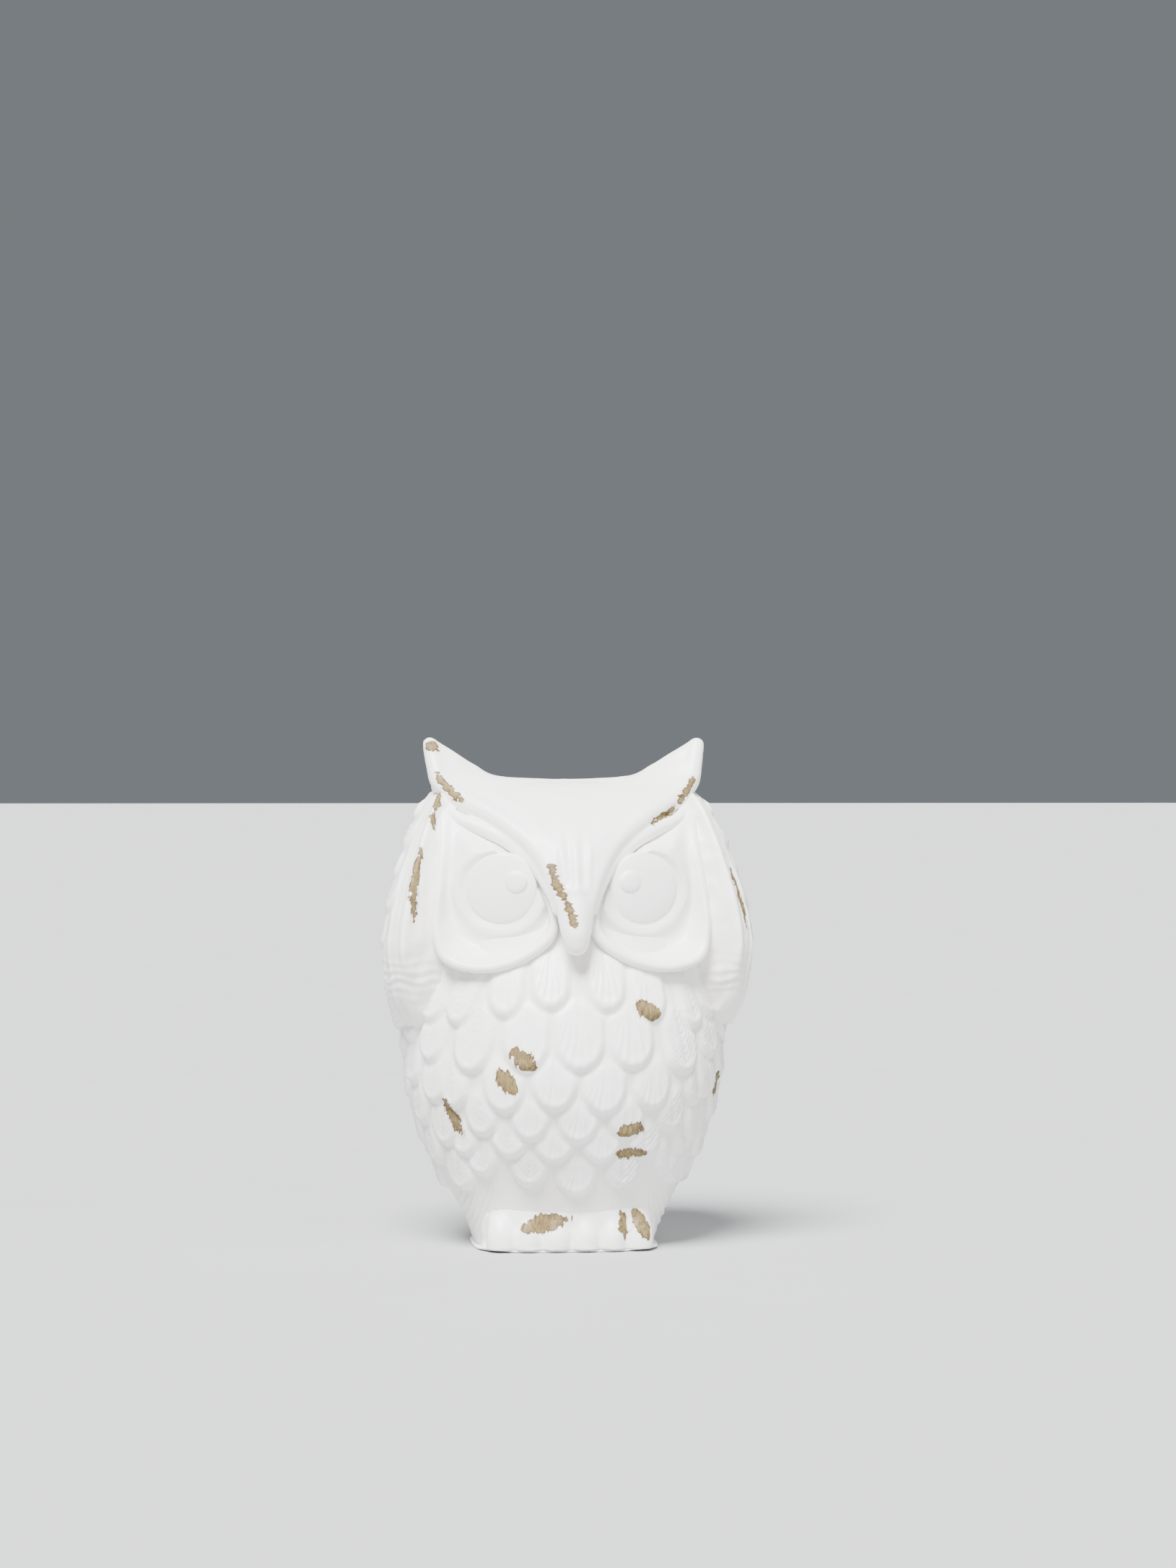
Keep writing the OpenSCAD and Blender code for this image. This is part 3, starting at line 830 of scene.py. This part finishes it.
def make_eye(side):
    flip = np.array([side, 1, 1])
    out, aside, up = turned_frame(side)
    name = "left" if side == LEFT else "right"
    centre = EYE * flip
    dome = [
        [0, 1.6], [0.3, 1.48], [0.6, 1.1], [0.8, 0.6], [0.92, 0.15], [0.99, -0.35], [1.0, -1.2],
        [1.0, -2.6], [0.9, -4], [0.4, -5], [0, -5],
    ]  # fmt: skip
    button(centre, out, aside, 12.6, dome, f"eye_{name}_sculpt", f"eye_{name}")
    pupil = centre - aside * 5.3 + up * 2.2 + out * 0.75
    disc = [
        [0, 1.5], [0.4, 1.42], [0.7, 1.15], [0.9, 0.65], [1.0, 0], [1.02, -0.6], [0.9, -1.6], [0, -2],
    ]
    button(pupil, out, aside, 4.3, disc, f"pupil_{name}_sculpt", f"pupil_{name}")


# [up, reach of its front face, turn of its front edge, turn of its back edge, how far it stands
# out], as in the CAD
WING = [
    [163.2, 8, 0, 25, -2.5], [161.5, 11, -4, 30, 8.6], [157, 18, -8, 38, 7.6], [150, 23, -12, 46, 7],
    [142, 27, -14, 54, 7.8], [131, 31, -16, 64, 9.1], [120, 34, -16, 69, 10], [108, 35, -16, 75, 9.8],
    [97, 33.5, -14, 79, 7.9], [90, 31, -12, 81, 6.8], [84, 28, -6, 82, 5.7], [80, 25, 3, 82.5, 5.3],
    [76, 21, 14, 83, 5.2], [71, 18, 26, 83.6, 5.3], [65, 16, 37, 84, 5.7], [57, 14, 50, 84, 5.7],
    [46, 10, 65, 84, 4.7], [37, 8, 76, 83, 1.5],
]  # fmt: skip
WING_LOW, WING_FACE = 72, 82  # between these heights the side runs on from the front face
WING_DROP, DROP_TOP, DROP_END = 8, 92, 74  # the face draws in by so much between two heights
WING_AHEAD = [[0.66, 4.5], [0.9, 0], [0.98, 3.5], [1, 9]]
WING_SIDES = 5
FACE_SHARE = 0.28  # the share of a wing's outer side that is its front face
RIDGE_SHARE = FACE_SHARE / 3
DENSE = 40

# Rows of coverts: [height of the tips, how many, half width, length]; then tiers of long
# feathers, whose tips fall from front to back: [height, fall, how many, half width, length]
COVERTS = [[151, 5, 4.2, 10], [141, 7, 5, 13], [130, 8, 5.8, 16], [118, 8, 6.4, 19], [106, 8, 6.8, 22]]
FLIGHT = [[80, 40, 8, 6, 44], [92, 37, 8, 6, 32]]


def side_spot(up, angle, out):
    """The shell's surface at an angle from straight aside (degrees, backwards), grown by out."""
    wide, ahead, behind, square = section(up)
    c, s = np.cos(np.radians(angle)), np.sin(np.radians(angle))
    x = wide * np.abs(c) ** (2 / square) * np.sign(c)
    y = np.where(s < 0, ahead, behind) * np.abs(s) ** (2 / square) * np.sign(s)
    grow = 1 + out / np.hypot(x, y)
    return np.stack([x * grow, y * grow, up + 0 * x], -1)


def wing_outline(station):
    """The places round the outer side of a wing at one height, from front to back."""
    up, face, first, last, stand = station
    whole = ease(WING_LOW, WING_FACE, up)
    drop = WING_DROP * np.clip((DROP_TOP - up) / (DROP_TOP - DROP_END), 0, 1) ** 2
    wide = section(up)[0] + stand - drop
    spots = [[x * wide, y - face, up] for x, y in WING_AHEAD]
    start = max(first, 6)
    for j in range(WING_SIDES + 1):
        t = j / WING_SIDES
        out = (stand - 2.2 * whole) * math.sqrt(1 - t**4) * (1 if j else whole * 1.2 - 0.2)
        spots.append(side_spot(up, start + (last - start) * t, out - (j == WING_SIDES)))
    return np.array(spots)


def wing_ring(station, across):
    """Places on a wing's outer side: by stations across its front face, evenly along its side."""
    outline = wing_outline(station)
    dense = curve(outline, (len(outline) - 1) * DENSE + 1)
    corner = (len(WING_AHEAD) - 1) * DENSE
    step = np.linalg.norm(np.diff(dense[corner:], axis=0), axis=1)
    length = np.concatenate([[0], np.cumsum(step)])
    t = np.clip((across - FACE_SHARE) / (1 - FACE_SHARE), 0, 1) * length[-1]
    behind = corner + np.interp(t, length, np.arange(len(length)))
    at = np.where(across < FACE_SHARE, across / FACE_SHARE * corner, behind)
    return np.stack([np.interp(at, np.arange(len(dense)), dense[:, k]) for k in range(3)], 1)


def make_wing(side):
    rows, outer, inner = int(220 / FINE), int(200 / FINE), int(14 / FINE)
    stations = curve(WING, rows)
    across = np.linspace(0, 1, outer)
    share = np.concatenate([across, np.linspace(1, 0, inner + 2)[1:-1]])
    under = np.arange(len(share)) >= outer
    rings = []
    for station in stations:
        up, _, first, last, _ = station
        sunk = side_spot(up, first + (last - first) * share[outer:], -3.0)
        rings.append(np.concatenate([wing_ring(station, across), sunk]))
    grid = np.array(rings) * np.array([side, 1, 1])
    points, quads = closed_grid(grid)
    quads = outwards(points, quads)
    points = soften(points, quads, 2)
    normal = normals(points, quads)
    relief = Relief(points, normal)
    shaped = points[: rows * len(share)].reshape(rows, len(share), 3)
    facing = normal[: rows * len(share)].reshape(rows, len(share), 3)

    def spot(height, u):
        j = min(int(np.argmin(np.abs(stations[:, 0] - height))), rows - 2)
        i = int(np.argmin(np.abs(across - u)))
        back = shaped[max(j - 6, 0), i] - shaped[min(j + 6, rows - 1), i]
        return shaped[j, i], facing[j, i], back

    plumes = []
    for tips, fall, count, half, length in FLIGHT:
        for k in range(count):
            w = (k + 0.5) / count
            plumes.append((tips - fall * w**1.2, 0.3 + 0.68 * w, half, length))
    for row, (tips, count, half, length) in enumerate(COVERTS):
        for k in range(count + row % 2):
            w = (k + (0.5 if row % 2 == 0 else 0)) / count
            plumes.append((tips - 3 * w, 0.3 + 0.68 * min(w, 1), half, length))
    for height, u, half, length in sorted(plumes, key=lambda plume: plume[0]):
        tip, n, back = spot(height, u)
        relief.feather(tip, n, back, half, length, 1.5, "chevron", 0.3, 0.34)
    _, y, z = points.T
    ridge = RIDGE_SHARE + 0.01

    def down_rows(values, rest=0.0):
        """One value for each column, given to every row; the points of the caps have the rest."""
        out = np.full(len(points), float(rest))
        out[: rows * len(share)] = np.tile(values, rows)
        return out

    behind = down_rows(0.5 + 0.5 * ease(0.24, 0.32, share), 1)
    height = relief.height * behind - 1.2 * (1 - behind)
    leading = down_rows(hump(share, ridge, 0.018) * (~under))
    wrist = hump(z, 97, 6) * ease(10, -12, y)
    front_edge = down_rows(ease(ridge, RIDGE_SHARE - 0.012, share) * (~under))
    rough = noise(points * np.array([1, 1, 0.45]), 3, 21)
    height += front_edge * (0.75 * rough + 0.1 - height * 0.8)
    height += (2.0 * leading * (1 - 0.25 * height)) * ease(92, 108, z) * ease(163, 158, z)
    height += 0.24 * wrist * np.cos(z * 2 * math.pi / 3.4 + 2.6 * noise(points, 6, 13))
    height += 0.16 * noise(points, 6, 14) + 0.1 * noise(points, 2.2, 15)
    height[down_rows(under) > 0.5] = 0
    points = points + normal * height[:, None]
    points = soften(points, quads, 1, 0.3)
    name = "left" if side == LEFT else "right"
    wear = np.maximum(wear_at(points, normal, "wing"), wear_at(points, normal, "wing_back", back=True))
    wear += 0.5 * (leading - 0.4)
    # the last value is the relief's height, from which the glaze paints shade into the low places
    return piece(f"wing_{name}_sculpt", points, quads, [f"wing_{name}"], GLAZE,
                 wear, height - 0.8)


def make_foot(side):
    clay = Clay((-2 if side == LEFT else -37, -40, -4), (37 if side == LEFT else 2, -12, 26), 0.4)
    flip = np.array([side, 1, 1, 1])
    for k, x in enumerate((5.2, 14.8, 24.2)):
        back = 0.0042 * x * x * 0.75
        toe = [[x, -24 + back, 11, 4], [x, -27.6 + back, 8.8, 4.8], [x, -29.2 + back, 5.6, 5.3],
               [x, -29.2 + back, 2.5, 5.4], [x, -28.6 + back, -2, 5.2]]  # fmt: skip
        clay.add(curve(toe, 90) * flip, 1.8 if k else 0)
    for z, y, r in ((14.8, -24, 6.4), (11.5, -24.6, 7.1), (8, -24, 7.4), (5.5, -23.6, 7.6), (0, -23.4, 7.6)):
        bar = [[2, y, z, r], [12, y + 0.4, z, r], [20, y + 1.8, z, r - 0.4], [24.5, y + 5, z, r - 1.2]]
        clay.add(curve(bar, 120) * flip, 1.6)
    clay.above(0.8)
    points, quads = clay.mesh()
    keep = ease(0.9, 2.5, points[:, 2])
    points = soften(points, quads, 6, 0.5, keep)
    normal = normals(points, quads)
    height = (0.14 * noise(points, 6, 16) + 0.06 * noise(points, 2.4, 17)) * keep
    points = points + normal * height[:, None]
    name = "left" if side == LEFT else "right"
    return piece(f"foot_{name}_sculpt", points, quads, [f"foot_{name}"], GLAZE,
                 wear_at(points, normal, "foot"), np.clip(height * 2, -1, 1))


def make_tail():
    clay = Clay((-28, 34, 1), (28, 58, 66), 0.5)
    for k, (x, fall, climb) in enumerate(((-10, 2.2, 4), (10, 2.2, 4), (0, 0, 0))):
        row = []
        for y, z, half, thick in ((44.6, 56.5, 8, 3.4), (49.2, 46, 9.5, 3.6), (50, 34, 10, 3.6),
                                  (45, 20, 9, 3.3), (38.9, 8.8, 5.4, 2.8)):
            w = half - thick
            row.append([[x - w, y - fall - 1, z + climb + 1, thick * 0.8], [x, y - fall, z + climb, thick],
                        [x + w, y - fall - 1, z + climb + 1, thick * 0.8]])
        clay.add(net(np.array(row), 120, 40), 0.8 if k else 0)
    points, quads = clay.mesh()
    points = soften(points, quads, 3)
    normal = normals(points, quads)
    x, y, z = points.T
    aside = np.where(np.abs(x) < 6, x, np.abs(x) - 10.5)
    back = ease(0, 0.5, normal[:, 1])
    line = np.cos((z + 1.3 * np.abs(aside)) * 2 * math.pi / 2.4)
    height = back * (0.22 * line - 0.5 * np.exp(-((aside / 0.6) ** 2))) + 0.1 * noise(points, 5, 18)
    points = points + normal * height[:, None]
    return piece("tail_sculpt", points, quads, ["tail"], GLAZE,
                 wear_at(points, normal, "tail", back=True), np.clip(height * 2, -1, 1))


def make_pad():
    """A thin pad whose free edge is uneven and curls at the front corners."""
    around = int(360 / FINE)
    turns = np.linspace(0, 2 * math.pi, around, endpoint=False)
    s, c = np.sin(turns), np.cos(turns)
    wide, deep, square = 33.0, np.where(c > 0, 32.0, 28.5), np.where(c > 0, 4.5, 3.0)
    r = (np.abs(s / wide) ** square + np.abs(c / deep) ** square) ** (-1 / square)
    base = np.stack([r * s, -r * c, 0 * r], 1)
    away = base / np.linalg.norm(base, axis=1)[:, None]
    wave = 0.35 * noise(base, 9, 19) + 0.15 * noise(base, 3, 20)
    corner = hump(np.degrees(turns), 45, 9) + hump(np.degrees(turns), 315, 9)
    reach = wave * 0.5 + 1.2 * corner
    levels = []
    for r in (0.02, 0.3, 0.6, 0.8, 0.92):
        levels.append(base * r)
    for t in np.linspace(0, 1, 7):
        lift = (0.9 * corner * t**2)[:, None] * [0, 0, 1]
        levels.append(base * 0.96 + away * (1.3 + reach)[:, None] * t + lift)
    under = [p.copy() for p in levels]
    top = [p + [0, 0, 0.8 if k < 6 else 0.55] for k, p in enumerate(levels)]
    grid = np.array(under + top[::-1])
    grid[..., 2] = np.maximum(grid[..., 2], 0)
    points, quads = closed_grid(grid)
    quads = outwards(points, quads)
    return piece("base_pad_paper", points, quads, ["base_pad"], PAPER)


make_body()
make_face()
for each in (LEFT, RIGHT):
    make_mask(each)
    make_eye(each)
    make_wing(each)
    make_foot(each)
make_tail()
make_pad()

# ---------------------------------------------------------------- floor, light and camera


FLOOR_REACH = 30  # metres each way
FLOOR_TONE = (172, 173, 174)
FLOOR_GAP = 0.0002  # the floor lies this far under the pad
SKY = (0.86, 0.93, 1, 1)
SKY_STRENGTH = 0.22


def plain(name, colour, rough):
    material, tree, shader = nodes_of(name)
    t = Tree(tree)
    grain = t.noise(t.where(), 12, 3)
    tone = t.mix(t.span(grain, 0.3, 0.7), linear(*colour), linear(*(c - 3 for c in colour)))
    tree.links.new(tone, shader.inputs["Base Color"])
    shader.inputs["Roughness"].default_value = rough
    return material


def make_stage():
    """A pale floor that runs on to the horizon."""
    reach = FLOOR_REACH
    mesh = bpy.data.meshes.new("studio_floor")
    mesh.from_pydata([(-reach, -reach, 0), (reach, -reach, 0), (reach, reach, 0), (-reach, reach, 0)], [],
                     [(0, 1, 2, 3)])
    mesh.materials.append(plain("studio_pale", FLOOR_TONE, 0.85))
    ob = bpy.data.objects.new("studio_floor", mesh)
    bpy.context.scene.collection.objects.link(ob)
    ob.location.z = low[2] - FLOOR_GAP


def sun(name, azimuth, elevation, power, soft):
    """A soft far light from this azimuth (0 is from in front, positive from the owl's left)."""
    data = bpy.data.lights.new(name, "SUN")
    data.energy, data.angle = power, math.radians(soft)
    ob = bpy.data.objects.new(name, data)
    ob.rotation_euler = (math.radians(90 - elevation), 0, math.radians(azimuth))
    bpy.context.scene.collection.objects.link(ob)


make_stage()
sun("key", -24, 56, 15, 28)
sun("fill", 36, 22, 1.8, 70)
sun("back", 170, 50, 1.2, 60)

world = bpy.data.worlds.new("studio")
world.use_nodes = True
world.node_tree.nodes["Background"].inputs[0].default_value = SKY
world.node_tree.nodes["Background"].inputs[1].default_value = SKY_STRENGTH
bpy.context.scene.world = world

# The camera stands a little to the owl's right, level, at the height of its crown
YAW = math.radians(6)
CAMERA_AWAY = 1.3265
CAMERA_UP = 0.1637
CAMERA_ASIDE = 0.00916
toward = np.array([-math.sin(YAW), -math.cos(YAW)])
rightward = np.array([math.cos(YAW), -math.sin(YAW)])
spot_xy = toward * CAMERA_AWAY + rightward * CAMERA_ASIDE
data = bpy.data.cameras.new("camera")
data.sensor_fit = "VERTICAL"
data.sensor_height = 36
data.lens = 85
data.clip_start = 0.01
camera = bpy.data.objects.new("camera", data)
camera.location = (spot_xy[0], spot_xy[1], CAMERA_UP)
camera.rotation_euler = (math.pi / 2, 0, -YAW)
bpy.context.scene.collection.objects.link(camera)
bpy.context.scene.camera = camera
